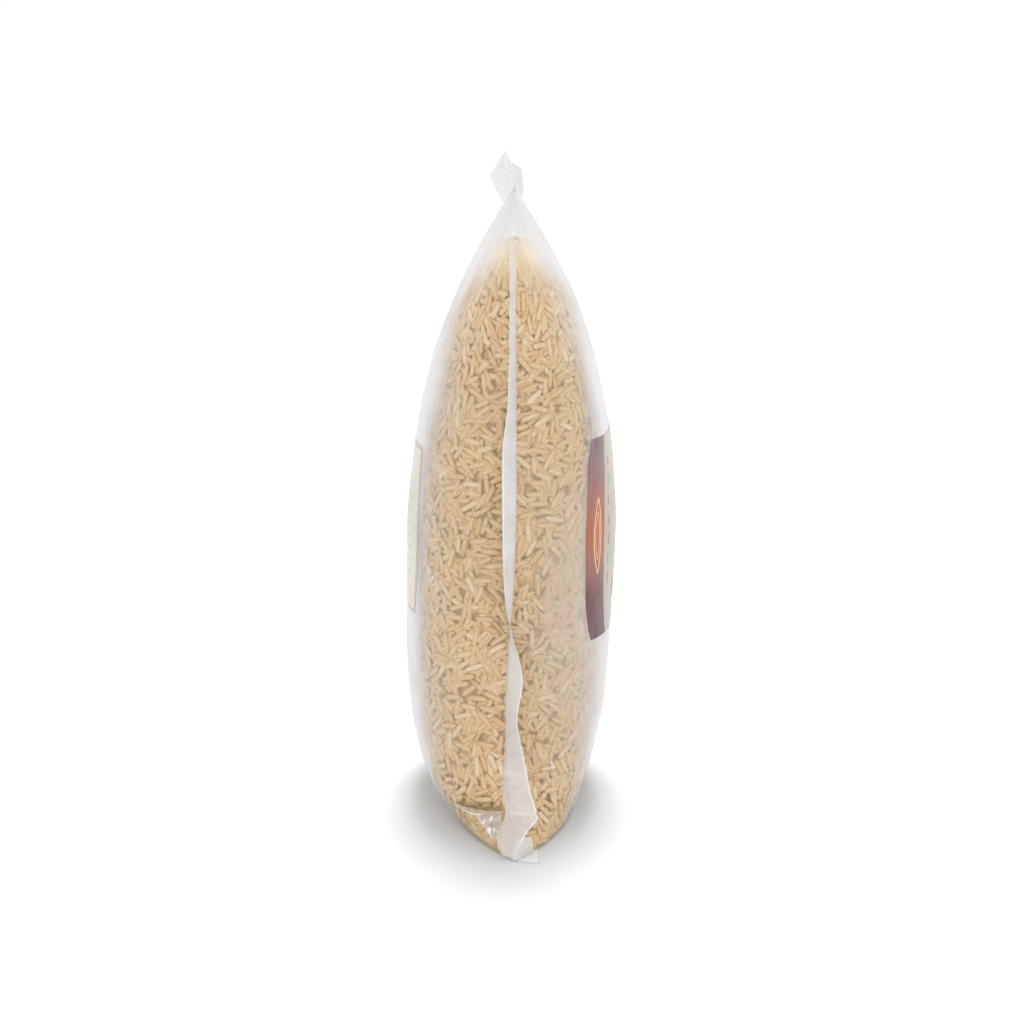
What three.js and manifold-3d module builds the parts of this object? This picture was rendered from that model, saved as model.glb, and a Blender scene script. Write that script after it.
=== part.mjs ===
// A filled pouch of rice that stands upright on its folded bottom seal.
// Millimetres, +Z up. The printed front panel faces +X, the narrow side with the seam fin faces -Y.
// Two flat panels are joined by a seal along each side, across the top and across the bottom.

import * as THREE from "three";
import { mergeVertices } from "three/addons/utils/BufferGeometryUtils.js";
import Module from "manifold-3d";

// Body
const bodyHeight = 205.5; // floor to the lower edge of the top seal
const bellyHeight = 92; // height of the fullest section
const bodyThickness = 70.1; // front panel to back panel at the belly
const baseThickness = 40.6; // front to back where the pouch rests on the floor
const panelWidth = 150; // seal to seal when empty, which it keeps at the top and at the base
const bellyWidth = 112; // seal to seal at the belly, where filling has pulled the sides in
const shoulderPower = 2.24; // how soon the upper half fills out, larger is sooner
const heelPower = 4.46; // how soon the lower half fills out
const widthPower = 1.4; // how the sides draw in as the section fills out
const topRoundness = 1.12; // how blunt a section's two ends are at the top, larger is blunter
const bellyRoundness = 2.4;
const baseRoundness = 2.96;

// Seals
const finWidth = 10; // side seals, seam to free edge
const topSealHeight = 10.5;
const bottomSealWidth = 7.5;
const sealThickness = 0.8;
const bottomSealEnd = 2; // how far the bottom seal's front corners reach past the panels
const sealRoot = 2.2; // how far a seal is let into the body, so that they join
const cornerCut = 12; // below this height the folded corner of the pouch cuts the fin short
const finFoot = 1.5; // height where the fin has run out

// Fineness
const sidesAround = 60;
const levelsInBody = 40;
const finStations = 46;
const topSealStations = 20;

// Sideways place of the body's middle at each height: height, offset along X
const leanRows = [
  [0, 0.8],
  [12, -1.3],
  [41, -1.5],
  [88, -0.4],
  [136, 0.5],
  [179, 0.9],
  [205.5, 0.6],
];

// The fin on the photographed side: height, seam along X, lean of the fin towards +X in degrees, droop in degrees
const nearFinRows = [
  [1.5, -3.2, 60, 0],
  [6, -3.9, 80, 0],
  [12.4, -2.6, 84, 0],
  [20.7, -3, 62, 0],
  [34, -2.2, 32, 0],
  [44, -2.2, 22, 0],
  [56, -1.6, 29, 0],
  [70, -0.6, 4, 0],
  [82, 0.6, -16, 0],
  [106, 1.4, -25, 0],
  [126, 1.5, -27, 0],
  [144, 1.4, -15, 0],
  [179, 1.2, -10, 0],
  [197, 1.2, -14, 0],
  [205.5, 1.1, -27, 22],
  [216, -2, -40, 46],
];

// The fin on the far side, in the same order
const farFinRows = [
  [1.5, 1, -50, 0],
  [7, 0.6, -76, 0],
  [13, 0.2, -78, 0],
  [28, 0, -40, 0],
  [53, -0.6, -12, 0],
  [77, -0.4, 14, 0],
  [108, 0, 24, 0],
  [135, 0.4, 12, 0],
  [179, 0.9, 10, 0],
  [197, 1, 14, 4],
  [205.5, 1.1, 20, 10],
  [216, -0.6, 26, 14],
];

// A smooth curve through the rows of a table: its value in one column at a height.
function along(rows, column, height) {
  const last = rows.length - 1;
  if (height <= rows[0][0]) {
    return rows[0][column];
  }
  if (height >= rows[last][0]) {
    return rows[last][column];
  }
  const slope = (row) => {
    const below = rows[Math.max(row - 1, 0)];
    const above = rows[Math.min(row + 1, last)];
    return (above[column] - below[column]) / (above[0] - below[0]);
  };
  let row = 0;
  while (rows[row + 1][0] < height) {
    row += 1;
  }
  const step = rows[row + 1][0] - rows[row][0];
  const s = (height - rows[row][0]) / step;
  const fromValue = rows[row][column] * (1 + 2 * s) * (1 - s) ** 2;
  const toValue = rows[row + 1][column] * s * s * (3 - 2 * s);
  const fromSlope = slope(row) * step * s * (1 - s) ** 2;
  const toSlope = slope(row + 1) * step * s * s * (s - 1);
  return fromValue + toValue + fromSlope + toSlope;
}

// How full the section is at a height: 0 where the panels meet, 1 at the belly.
function fullness(height) {
  if (height > bellyHeight) {
    const fromTop = (bodyHeight - height) / (bodyHeight - bellyHeight);
    return 1 - (1 - fromTop) ** shoulderPower;
  }
  return 1 - (1 - height / bellyHeight) ** heelPower;
}

function halfThickness(height) {
  const full = fullness(height);
  const least = height > bellyHeight ? sealThickness / 2 : baseThickness / 2;
  return least + (bodyThickness / 2 - least) * full;
}

function halfWidth(height) {
  const drawnIn = (panelWidth - bellyWidth) / 2;
  return panelWidth / 2 - drawnIn * fullness(height) ** widthPower;
}

// A section runs from a sharp-ended lozenge at the top to a rounded oval at the belly and a blunt boat below.
function sectionPoint(height, angle) {
  const full = fullness(height);
  const across = -Math.cos(angle);
  const least = height > bellyHeight ? topRoundness : baseRoundness;
  const roundness = least + (bellyRoundness - least) * full;
  const swell = (1 - Math.abs(across) ** roundness) ** (1 / (1 + full));
  const side = Math.sin(angle) < 0 ? -1 : 1;
  return new THREE.Vector3(
    along(leanRows, 1, height) + side * halfThickness(height) * swell,
    halfWidth(height) * across,
    height,
  );
}

// A closed solid from points and triangles, turned face out if need be.
function solidFrom(wasm, points, triangles) {
  let volume = 0;
  for (const [a, b, c] of triangles) {
    volume += new THREE.Vector3().crossVectors(points[b], points[c]).dot(points[a]);
  }
  const facing = volume < 0 ? triangles.map(([a, b, c]) => [a, c, b]) : triangles;
  return new wasm.Manifold(
    new wasm.Mesh({
      numProp: 3,
      vertProperties: new Float32Array(points.flatMap((point) => point.toArray())),
      triVerts: new Uint32Array(facing.flat()),
    }),
  );
}

// The body: rings of points from the base to the top seal, with a flat lid on each end.
function bodySolid(wasm) {
  const points = [];
  const triangles = [];
  for (let level = 0; level <= levelsInBody; level += 1) {
    const height = (bodyHeight * (1 - Math.cos((Math.PI * level) / levelsInBody))) / 2;
    for (let side = 0; side < sidesAround; side += 1) {
      points.push(sectionPoint(height, (2 * Math.PI * side) / sidesAround));
    }
  }
  const at = (level, side) => level * sidesAround + (side % sidesAround);
  for (let level = 0; level < levelsInBody; level += 1) {
    for (let side = 0; side < sidesAround; side += 1) {
      triangles.push([at(level, side), at(level, side + 1), at(level + 1, side + 1)]);
      triangles.push([at(level, side), at(level + 1, side + 1), at(level + 1, side)]);
    }
  }
  for (const level of [0, levelsInBody]) {
    for (let side = 0; side < sidesAround / 2; side += 1) {
      const mirror = sidesAround - side;
      const lid = [
        [at(level, side), at(level, mirror - 1), at(level, side + 1)],
        [at(level, side), at(level, mirror), at(level, mirror - 1)],
      ].filter((corners) => new Set(corners).size === 3);
      triangles.push(...(level === 0 ? lid : lid.map(([a, b, c]) => [a, c, b])));
    }
  }
  return solidFrom(wasm, points, triangles);
}

// A bent sheet of even thickness on a grid of points, rows by columns.
function sheetSolid(wasm, grid, thickness) {
  const rows = grid.length;
  const columns = grid[0].length;
  const points = [];
  const triangles = [];
  for (const sideSign of [1, -1]) {
    for (let row = 0; row < rows; row += 1) {
      for (let column = 0; column < columns; column += 1) {
        const rowAfter = grid[Math.min(row + 1, rows - 1)][column];
        const rowBefore = grid[Math.max(row - 1, 0)][column];
        const columnAfter = grid[row][Math.min(column + 1, columns - 1)];
        const columnBefore = grid[row][Math.max(column - 1, 0)];
        const normal = new THREE.Vector3()
          .subVectors(rowAfter, rowBefore)
          .cross(new THREE.Vector3().subVectors(columnAfter, columnBefore))
          .normalize();
        points.push(grid[row][column].clone().addScaledVector(normal, (sideSign * thickness) / 2));
      }
    }
  }
  const at = (row, column, under) => (under ? rows * columns : 0) + row * columns + column;
  for (let row = 0; row + 1 < rows; row += 1) {
    for (let column = 0; column + 1 < columns; column += 1) {
      for (const under of [false, true]) {
        const a = at(row, column, under);
        const b = at(row, column + 1, under);
        const c = at(row + 1, column + 1, under);
        const d = at(row + 1, column, under);
        triangles.push(...(under ? [[a, c, b], [a, d, c]] : [[a, b, c], [a, c, d]]));
      }
    }
  }
  const rim = [];
  for (let column = 0; column + 1 < columns; column += 1) {
    rim.push([0, column]);
  }
  for (let row = 0; row + 1 < rows; row += 1) {
    rim.push([row, columns - 1]);
  }
  for (let column = columns - 1; column > 0; column -= 1) {
    rim.push([rows - 1, column]);
  }
  for (let row = rows - 1; row > 0; row -= 1) {
    rim.push([row, 0]);
  }
  rim.forEach(([row, column], index) => {
    const [nextRow, nextColumn] = rim[(index + 1) % rim.length];
    const a = at(row, column, false);
    const b = at(nextRow, nextColumn, false);
    const c = at(nextRow, nextColumn, true);
    const d = at(row, column, true);
    triangles.push([b, a, d], [b, d, c]);
  });
  return solidFrom(wasm, points, triangles);
}

// A side seal: it stands out from the seam line and leans to one side or the other on its way up.
// Outward is -1 for the photographed side and 1 for the far side.
function finSolid(wasm, rows, outward) {
  const topEdge = bodyHeight + topSealHeight;
  const grid = [];
  for (let station = 0; station <= finStations; station += 1) {
    const height = finFoot + ((topEdge - finFoot) * station) / finStations;
    const seam = new THREE.Vector3(along(rows, 1, height), 0, height);
    seam.y = outward * halfWidth(Math.min(height, bodyHeight));
    const lean = THREE.MathUtils.degToRad(along(rows, 2, height));
    const droop = THREE.MathUtils.degToRad(along(rows, 3, height));
    const reach = finWidth * Math.min(1, 0.04 + (height - finFoot) / (cornerCut - finFoot));
    const direction = new THREE.Vector3(
      Math.sin(lean) * Math.cos(droop),
      outward * Math.cos(lean) * Math.cos(droop),
      -Math.sin(droop),
    );
    const root = seam.clone();
    root.y -= outward * sealRoot;
    grid.push([
      root,
      seam,
      seam.clone().addScaledVector(direction, reach / 2),
      seam.clone().addScaledVector(direction, reach),
    ]);
  }
  return sheetSolid(wasm, grid, sealThickness);
}

// The top seal: a strip that stands on the body's upper edge and leans as the two fins do at its ends.
function topSealSolid(wasm) {
  const rootHeight = bodyHeight - sealRoot;
  const topEdge = bodyHeight + topSealHeight;
  const grid = [];
  for (let station = 0; station <= topSealStations; station += 1) {
    const share = station / topSealStations;
    const y = panelWidth * (share - 0.5);
    const sway = 1.6 * Math.sin(2 * Math.PI * share) * Math.sin(Math.PI * share);
    const between = (height) =>
      along(nearFinRows, 1, height) * (1 - share) + along(farFinRows, 1, height) * share;
    grid.push([
      new THREE.Vector3(along(leanRows, 1, rootHeight), y, rootHeight),
      new THREE.Vector3(between(bodyHeight), y, bodyHeight),
      new THREE.Vector3(between(topEdge) + sway, y, topEdge),
    ]);
  }
  return sheetSolid(wasm, grid, sealThickness);
}

// The bottom seal: folded flat under the pouch towards the front, its ends showing past the base.
function bottomSealSolid(wasm) {
  const height = sealThickness / 2;
  const seam = along(leanRows, 1, 0);
  const grid = [-1, 0, 1].map((end) => [
    new THREE.Vector3(seam - (end === 0 ? 1 : 0), (end * panelWidth) / 2, height),
    new THREE.Vector3(
      seam + bottomSealWidth - (end === 0 ? 1.5 : 0),
      end * (panelWidth / 2 + bottomSealEnd),
      height,
    ),
  ]);
  return sheetSolid(wasm, grid, sealThickness);
}

// The whole pouch as one mesh, set over the middle of its base.
async function pouchMesh() {
  const wasm = await Module();
  wasm.setup();
  const solid = bodySolid(wasm)
    .add(finSolid(wasm, nearFinRows, -1))
    .add(finSolid(wasm, farFinRows, 1))
    .add(topSealSolid(wasm))
    .add(bottomSealSolid(wasm));
  // The outer skin alone is kept, so a pocket caught behind a folded seal is filled.
  const skins = solid.decompose();
  const joined = skins.reduce((a, b) => (a.volume() > b.volume() ? a : b)).getMesh();
  let geometry = new THREE.BufferGeometry();
  geometry.setAttribute("position", new THREE.BufferAttribute(joined.vertProperties, 3));
  geometry.setIndex(new THREE.BufferAttribute(joined.triVerts, 1));
  geometry = mergeVertices(geometry, 1e-4);
  geometry.computeBoundingBox();
  const middle = geometry.boundingBox.getCenter(new THREE.Vector3());
  geometry.translate(-middle.x, -middle.y, -geometry.boundingBox.min.z);
  geometry.computeVertexNormals();
  const film = new THREE.MeshStandardMaterial({ color: 0xd9c3a0, roughness: 0.35 });
  const mesh = new THREE.Mesh(geometry, film);
  mesh.name = "bag";
  return mesh;
}

const pouch = new THREE.Group();
pouch.name = "rice_pouch";
pouch.add(await pouchMesh());

export default pouch;
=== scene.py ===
# A filled pouch of golden long-grain rice in milky clear film, standing on its folded bottom seal.
# The shape is worked out in millimetres and handed to Blender in metres, in the frame of the CAD part.
# +X is out of the printed front panel, -Y out of the narrow side that the photograph shows.

import math

import bpy
import numpy as np
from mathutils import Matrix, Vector


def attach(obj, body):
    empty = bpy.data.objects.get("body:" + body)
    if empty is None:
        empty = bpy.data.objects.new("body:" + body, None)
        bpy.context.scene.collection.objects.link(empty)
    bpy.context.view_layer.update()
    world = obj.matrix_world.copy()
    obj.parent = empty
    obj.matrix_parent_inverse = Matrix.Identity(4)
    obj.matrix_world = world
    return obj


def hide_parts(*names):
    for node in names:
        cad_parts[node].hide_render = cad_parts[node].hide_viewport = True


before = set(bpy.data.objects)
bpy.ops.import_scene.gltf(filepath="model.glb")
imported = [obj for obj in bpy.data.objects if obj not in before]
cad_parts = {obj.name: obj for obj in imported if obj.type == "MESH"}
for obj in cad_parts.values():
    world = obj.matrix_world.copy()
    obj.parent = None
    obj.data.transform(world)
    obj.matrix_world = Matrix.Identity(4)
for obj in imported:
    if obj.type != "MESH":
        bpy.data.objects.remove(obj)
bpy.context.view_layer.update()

METRES = 0.001  # one millimetre

# Body, as in the CAD part
BODY_HEIGHT = 205.5
BELLY_HEIGHT = 92.0
BODY_THICKNESS = 70.1
BASE_THICKNESS = 40.6
TOP_THICKNESS = 0.8
PANEL_WIDTH = 150.0
BELLY_WIDTH = 112.0
SHOULDER_POWER = 2.24
HEEL_POWER = 4.46
WIDTH_POWER = 1.4
TOP_ROUNDNESS = 1.12
BELLY_ROUNDNESS = 2.4
BASE_ROUNDNESS = 2.96
CENTRING = (0.632, -0.237)  # the shift that sets the CAD part over the middle of its base

# Seals, a little finer than in the CAD part
FIN_WIDTH = 10.0
TOP_SEAL_HEIGHT = 10.5
BOTTOM_SEAL_WIDTH = 7.5
BOTTOM_SEAL_END = 2.0
FIN_FOOT = 1.5
SEAL_ROOT = 1.2
SEAL_THICKNESS = 0.16
CORNER_ROWS = [(1.5, 3.4), (5.6, 8.3), (8.8, 9.2), (11.8, 10.7), (13.6, 10.0)]  # (height, fin's width)

LEAN_ROWS = [
    (0, 0.8), (12, -1.3), (41, -1.5), (88, -0.4), (136, 0.5), (179, 0.9), (205.5, 0.6),
]
# A fin's rows: height, the seam's x, how far it leans toward +X and how far it droops, in degrees
NEAR_FIN_ROWS = [
    (1.5, -2.9, 84, 0), (5.8, -4.8, 84, 0), (9.5, -3.5, 84, 0), (13, -2.1, 83, 0),
    (20.7, -3, 62, 0), (34, -2.2, 32, 0),
    (44, -2.2, 22, 0), (56, -1.6, 29, 0), (70, -0.6, 4, 0), (82, 0.6, -16, 0), (106, 1.4, -25, 0),
    (126, 1.5, -27, 0), (144, 1.4, -15, 0), (179, 1.2, -10, 0), (197, 1.2, -14, 0),
    (205.5, 1.1, -27, 22), (216, -2, -40, 46),
]
SEAL_COVER_ROWS = [
    (1.5, 0.33), (40, 0.44), (90, 0.74), (150, 0.66), (170, 0.58), (184, 0.36),
    (191, 0.08), (203, 0.08), (206, 0.40), (216, 0.42),
]
FAR_FIN_ROWS = [
    (1.5, 1, -50, 0), (7, 0.6, -76, 0), (13, 0.2, -78, 0), (28, 0, -40, 0), (53, -0.6, -12, 0),
    (77, -0.4, 14, 0), (108, 0, 24, 0), (135, 0.4, 12, 0), (179, 0.9, 10, 0), (197, 1, 14, 4),
    (205.5, 1.1, 20, 10), (216, -0.6, 26, 14),
]

# Fold at the near corner, as lines of (height, x) on the film; the first is the top of the painted shadow
# band
FOLD_PAINTED_SHADOW_TOP = [(14.0, -18.0), (15.6, -10.0), (16.4, -3.2)]
FOLD_CREASE = [(11.8, -18.3), (13.0, -11.4), (14.0, -2.8)]
FOLD_LIP = [(11.2, -18.2), (10.9, -11.4), (12.6, -3.4)]
FOLD_FACET_LEFT = [(10.9, -11.4), (8.2, -7.9), (4.5, -5.5)]
FOLD_FACET_RIGHT = [(13.0, -3.6), (10.2, -3.1), (5.2, -4.6)]
FOLD_FLAP_TOP = [(6.2, 1.6), (5.4, 6.0)]
FOLD_FLAP_FOOT = [(0.4, -1.2), (0.4, 6.6)]

# Painted highlight streaks of a small wrinkle in the film beside the seal, as lines of (height, x)
WRINKLE_TOP = [(28.0, 8.6), (27.4, 13.4)]
WRINKLE_FOOT = [(22.2, 8.8), (22.6, 13.6)]

# Rice
RICE_TOP = 191.5
RICE_SHOULDER = 181.0
RICE_FOOT = 0.7
GRAIN_LENGTH = 7.0
GRAIN_WIDTH = 2.05
GRAIN_THICKNESS = 1.55
BED_DEPTH = 2.7  # how deep the loose grains lie over the solid core
LOOSE_LIMIT = 4.0  # no grain's middle lies nearer than this under the rice's top
UNDER_GRAINS = 11500  # grains pressed together under the loose ones
LOOSE_TRIES = 40000

# Printed panels
FRONT_LOW = 61.5
FRONT_HIGH = 127.0
FRONT_HALF_WIDTHS = (39.0, 45.6)  # at its ends and at its middle
BACK_LOW = 68.0
BACK_HIGH = 123.5
BACK_HALF_WIDTHS = (29.5, 32.0)
BORDER_WIDTH = 13.0  # the plum border down each side of the front panel
GLOW_MIDDLE = 98.0
GLOW_REACH = 15.0
EMBLEM_MIDDLE = 95.5  # the grain outlines in the border
EMBLEM_INSET = 7.4
DASHES_INSET = 17.5
BAR_MIDDLE = 75.0

# The photograph's view
CAMERA_RISE = 9.9  # degrees above level
CAMERA_DISTANCE = 0.615  # metres from the point that it looks at
CAMERA_HEIGHT = 0.0968  # that point's height in metres
CAMERA_LENS = 63.28125
CAMERA_SENSOR = 36

# Light: where it comes from, its strength, and how wide it spreads in degrees
TOP_LIGHT = ((0.02, 0.29, 1.0), 2.55, 18)
FRONT_LIGHT = ((0.0, -1.0, 0.45), 0.95, 50)
WORLD_LIGHT = 1.0
FLOOR_SIZE = 60000.0


# Shape of the pouch

def along(rows, column, height):
    """The smooth curve through a table's rows, as the CAD part draws it."""
    rows = np.asarray(rows, float)
    h = np.clip(np.asarray(height, float), rows[0, 0], rows[-1, 0])
    i = np.clip(np.searchsorted(rows[:, 0], h, side="left") - 1, 0, len(rows) - 2)
    below = np.maximum(np.arange(len(rows)) - 1, 0)
    above = np.minimum(np.arange(len(rows)) + 1, len(rows) - 1)
    slope = (rows[above, column] - rows[below, column]) / (rows[above, 0] - rows[below, 0])
    step = rows[i + 1, 0] - rows[i, 0]
    s = (h - rows[i, 0]) / step
    value = rows[i, column] * (1 + 2 * s) * (1 - s) ** 2
    value = value + rows[i + 1, column] * s * s * (3 - 2 * s)
    value = value + slope[i] * step * s * (1 - s) ** 2
    return value + slope[i + 1] * step * s * s * (s - 1)


def smoothstep(low, high, value):
    """0 at the low value, easing to 1 at the high one."""
    s = np.clip((value - low) / (high - low), 0, 1)
    return s * s * (3 - 2 * s)


def bump(middle, half, value):
    """1 at the middle, easing to 0 at half its width away."""
    return 1 - smoothstep(0, 1, np.abs(value - middle) / half)


def fullness(height):
    """How far the rice fills the pouch out at a height: 1 at the belly, 0 at the ends."""
    below_top = np.clip((BODY_HEIGHT - height) / (BODY_HEIGHT - BELLY_HEIGHT), 0, 1)
    over_floor = np.clip(height / BELLY_HEIGHT, 0, 1)
    upper = 1 - (1 - below_top) ** SHOULDER_POWER
    lower = 1 - (1 - over_floor) ** HEEL_POWER
    return np.where(height > BELLY_HEIGHT, upper, lower)


def half_thickness(height):
    least = np.where(height > BELLY_HEIGHT, TOP_THICKNESS / 2, BASE_THICKNESS / 2)
    return least + (BODY_THICKNESS / 2 - least) * fullness(height)


def half_width(height):
    return PANEL_WIDTH / 2 - (PANEL_WIDTH - BELLY_WIDTH) / 2 * fullness(height) ** WIDTH_POWER


def roundness(height):
    least = np.where(height > BELLY_HEIGHT, TOP_ROUNDNESS, BASE_ROUNDNESS)
    return least + (BELLY_ROUNDNESS - least) * fullness(height)


def section(height, angle, inset=0.0, end_inset=0.0):
    """Points of the pouch at a height and an angle round it, or of a form inside it."""
    full = fullness(height)
    across = -np.cos(angle)
    swell = (1 - np.minimum(np.abs(across), 1) ** roundness(height)) ** (1 / (1 + full))
    side = np.where(np.sin(angle) < 0, -1.0, 1.0)
    x = along(LEAN_ROWS, 1, height) + side * np.maximum(half_thickness(height) - inset, 0.05) * swell
    y = np.maximum(half_width(height) - end_inset, 0.05) * across
    return np.stack([x + CENTRING[0], y + CENTRING[1], height + 0 * angle], -1)


def outward(height, angle):
    """The outward normal of the plain pouch."""
    step_h, step_a = 0.6, 0.02
    low = np.clip(height - step_h, 0, BODY_HEIGHT)
    high = np.clip(height + step_h, 0, BODY_HEIGHT)
    up = section(high, angle) - section(low, angle)
    round_ = section(height, angle + step_a) - section(height, angle - step_a)
    normal = np.cross(round_, up)
    return normal / np.maximum(np.linalg.norm(normal, axis=-1, keepdims=True), 1e-9)


def lattice_noise(points, size, seed):
    """Smooth noise between -1 and 1 with features of the given size in millimetres."""
    table = np.random.RandomState(seed).rand(24, 24, 24) * 2 - 1
    q = points / size + 100.5
    cell = np.floor(q).astype(int)
    f = q - cell
    f = f * f * (3 - 2 * f)
    total = 0
    for i in (0, 1):
        for j in (0, 1):
            for k in (0, 1):
                weight = (f[..., 0] if i else 1 - f[..., 0])
                weight = weight * (f[..., 1] if j else 1 - f[..., 1])
                weight = weight * (f[..., 2] if k else 1 - f[..., 2])
                total = total + weight * table[
                    (cell[..., 0] + i) % 24, (cell[..., 1] + j) % 24, (cell[..., 2] + k) % 24
                ]
    return total


def side_place(angle):
    """Where a point lies from panel to panel: -1 at the back panel's middle, 1 at the front panel's."""
    side = np.where(np.sin(angle) < 0, -1.0, 1.0)
    return side * np.sqrt(np.clip(1 - np.abs(np.cos(angle)) ** BELLY_ROUNDNESS, 0, 1))


def near_share(angle):
    """1 on the half of the pouch round the photographed seam."""
    return smoothstep(0.45, -0.15, -np.cos(angle))


def margin(height, angle):
    """1 where the film stands off the rice at the panels' edges, less near the floor and the top."""
    upper = smoothstep(140, 170, height)
    edge = smoothstep(0.72 + 0.08 * upper, 0.95 + 0.03 * upper, np.abs(side_place(angle)))
    return edge * (0.25 + 0.75 * smoothstep(8, 34, height)) * (1 - 0.3 * upper)


def gap(height, angle):
    """How far the rice lies behind the film, in millimetres."""
    near = near_share(angle)
    patches = 0.9 + 1.0 * lattice_noise(section(height, angle), 34, 5)
    near_gap = 0.2 + 1.3 * margin(height, angle)
    heel = 0.4 + 0.6 * smoothstep(0, 8, height)
    return np.maximum(near * near_gap + (1 - near) * patches, 0.2) * heel


def haze(height, angle):
    """How much the film hides of what lies behind it, seen face on."""
    near = near_share(angle)
    place = side_place(angle)
    spots = lattice_noise(section(height, angle), 13, 6)
    front_side = smoothstep(0.06, 0.42, place) * bump(78, 70, height) * smoothstep(17, 25, height)
    front_side *= 1 - 0.6 * smoothstep(0.7, 0.95, place)
    edges = 0.28 * margin(height, angle)
    near_haze = 0.20 + 0.18 * front_side + 0.05 * spots
    far_haze = 0.16 + 0.07 * gap(height, angle) + 0.03 * spots
    over_rice = edges + near_haze * near + far_haze * (1 - near)
    over_rice *= (1 - 0.5 * smoothstep(30, 12, height)) * (1 - 0.5 * smoothstep(140, 170, height))
    over_rice += 0.20 * near * smoothstep(172, 187, height)
    empty = smoothstep(RICE_TOP - 6, RICE_TOP + 3, height)
    rim = 0.3 * smoothstep(1.4, 0.5, height)
    return np.clip(over_rice * (1 - empty) + 0.25 * empty + rim, 0.03, 0.9)


def warmth(height, angle):
    """How much of the rice's colour the milky film takes up: most where the rice presses on it."""
    place = side_place(angle)
    edge = smoothstep(0.5, 0.9, np.abs(place))
    milky = 0.4 * smoothstep(0.06, 0.42, place) * bump(70, 70, height) * near_share(angle)
    return (1 - edge) * (1 - milky) * smoothstep(RICE_TOP + 2, RICE_TOP - 9, height)


def relief(height, angle):
    """How far the film stands proud of the plain pouch."""
    p = section(height, angle)
    across = -np.cos(angle)
    seam = smoothstep(0.80, 0.99, np.abs(across))
    top = smoothstep(150, 205, height)
    lift = 0.55 * lattice_noise(p, 27, 1) + 0.22 * lattice_noise(p, 10, 2)
    touching = np.exp(-gap(height, angle) / 0.9)
    lift = lift + 0.16 * lattice_noise(p, 2.6, 3) * touching * (1 - seam)
    folds = np.sin(p[..., 1] * 0.32 + 2.2 * lattice_noise(p, 40, 4))
    lift = (lift + 0.12 * folds * top * (1 - seam)) * (1 - 0.6 * smoothstep(165, 190, height))
    ends = smoothstep(0, 8, height) * smoothstep(BODY_HEIGHT, BODY_HEIGHT - 10, height)
    return lift * ends * (1 - 0.7 * seam)


def film_points(height, angle, lift=0.0):
    """Points of the film with its dents, or of what lies on it at a lift."""
    offset = relief(height, angle) + lift
    return section(height, angle) + outward(height, angle) * offset[..., None]


# Meshes

def ring_faces(levels, around):
    """Quads between rings of points."""
    level = np.arange(levels - 1)[:, None]
    step = np.arange(around)[None, :]
    after = (step + 1) % around
    low = level * around
    high = low + around
    corners = [low + step, low + after, high + after, high + step]
    return np.stack([np.broadcast_to(c, (levels - 1, around)) for c in corners], -1).reshape(-1, 4)


def lid_faces(first, around, downward):
    """A flat lid on a ring whose points mirror each other across its long axis."""
    faces = []
    for side in range(around // 2):
        mirror = around - side
        corners = [side, mirror % around, mirror - 1, side + 1]
        if side == 0:
            corners = [0, mirror - 1, side + 1]
        elif side == around // 2 - 1:
            corners = [side, mirror % around, side + 1]
        corners = [first + c for c in corners]
        faces.append(corners if downward else corners[::-1])
    return faces


def add_mesh(name, points, faces, material, numbers=None, smooth=True):
    """A mesh object from points in millimetres, with one number a point for each named attribute."""
    mesh = bpy.data.meshes.new(name)
    corners = (np.asarray(points).reshape(-1, 3) * METRES).tolist()
    mesh.from_pydata(corners, [], [list(map(int, face)) for face in faces])
    for key, values in (numbers or {}).items():
        layer = mesh.attributes.new(key, "FLOAT", "POINT")
        layer.data.foreach_set("value", np.asarray(values, np.float32).ravel())
    mesh.polygons.foreach_set("use_smooth", [smooth] * len(mesh.polygons))
    mesh.materials.append(material)
    mesh.update()
    piece = bpy.data.objects.new(name, mesh)
    bpy.context.scene.collection.objects.link(piece)
    return piece


def with_fine_rim(values):
    """The grid of values with one more line close inside each side of its rim."""
    for turned in (False, True):
        v = np.swapaxes(values, 0, 1) if turned else values
        first = 0.9 * v[:1] + 0.1 * v[1:2]
        last = 0.1 * v[-2:-1] + 0.9 * v[-1:]
        v = np.concatenate([v[:1], first, v[1:-1], last, v[-1:]])
        values = np.swapaxes(v, 0, 1) if turned else v
    return values


def sheet_mesh(name, grid, thickness, material, numbers=None):
    """A bent sheet of even thickness on a grid of points, closed round a rim that is wholly clear."""
    grid = with_fine_rim(grid)
    numbers = {key: with_fine_rim(values) for key, values in (numbers or {}).items()}
    if "cover" in numbers:
        inside = np.zeros(grid.shape[:2])
        inside[1:-1, 1:-1] = 1
        numbers["cover"] = numbers["cover"] * inside
    rows, columns = grid.shape[:2]
    along_rows = np.gradient(grid, axis=0)
    along_columns = np.gradient(grid, axis=1)
    normal = np.cross(along_rows, along_columns)
    normal /= np.maximum(np.linalg.norm(normal, axis=-1, keepdims=True), 1e-9)
    points = np.concatenate([
        (grid + normal * thickness / 2).reshape(-1, 3),
        (grid - normal * thickness / 2).reshape(-1, 3),
    ])
    index = np.arange(rows * columns).reshape(rows, columns)
    upper = np.stack([index[:-1, :-1], index[1:, :-1], index[1:, 1:], index[:-1, 1:]], -1).reshape(-1, 4)
    lower = upper[:, ::-1] + rows * columns
    rim = np.concatenate([index[0, :-1], index[:-1, -1], index[-1, :0:-1], index[:0:-1, 0]])
    after = np.roll(rim, -1)
    edge = np.stack([rim, after, after + rows * columns, rim + rows * columns], -1)
    faces = np.concatenate([upper, lower, edge])
    doubled = {key: np.concatenate([np.ravel(v), np.ravel(v)]) for key, v in numbers.items()}
    piece = add_mesh(name, points, faces, material, doubled)
    piece.data.set_sharp_from_angle(angle=math.radians(60))
    return piece


# Materials

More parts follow.
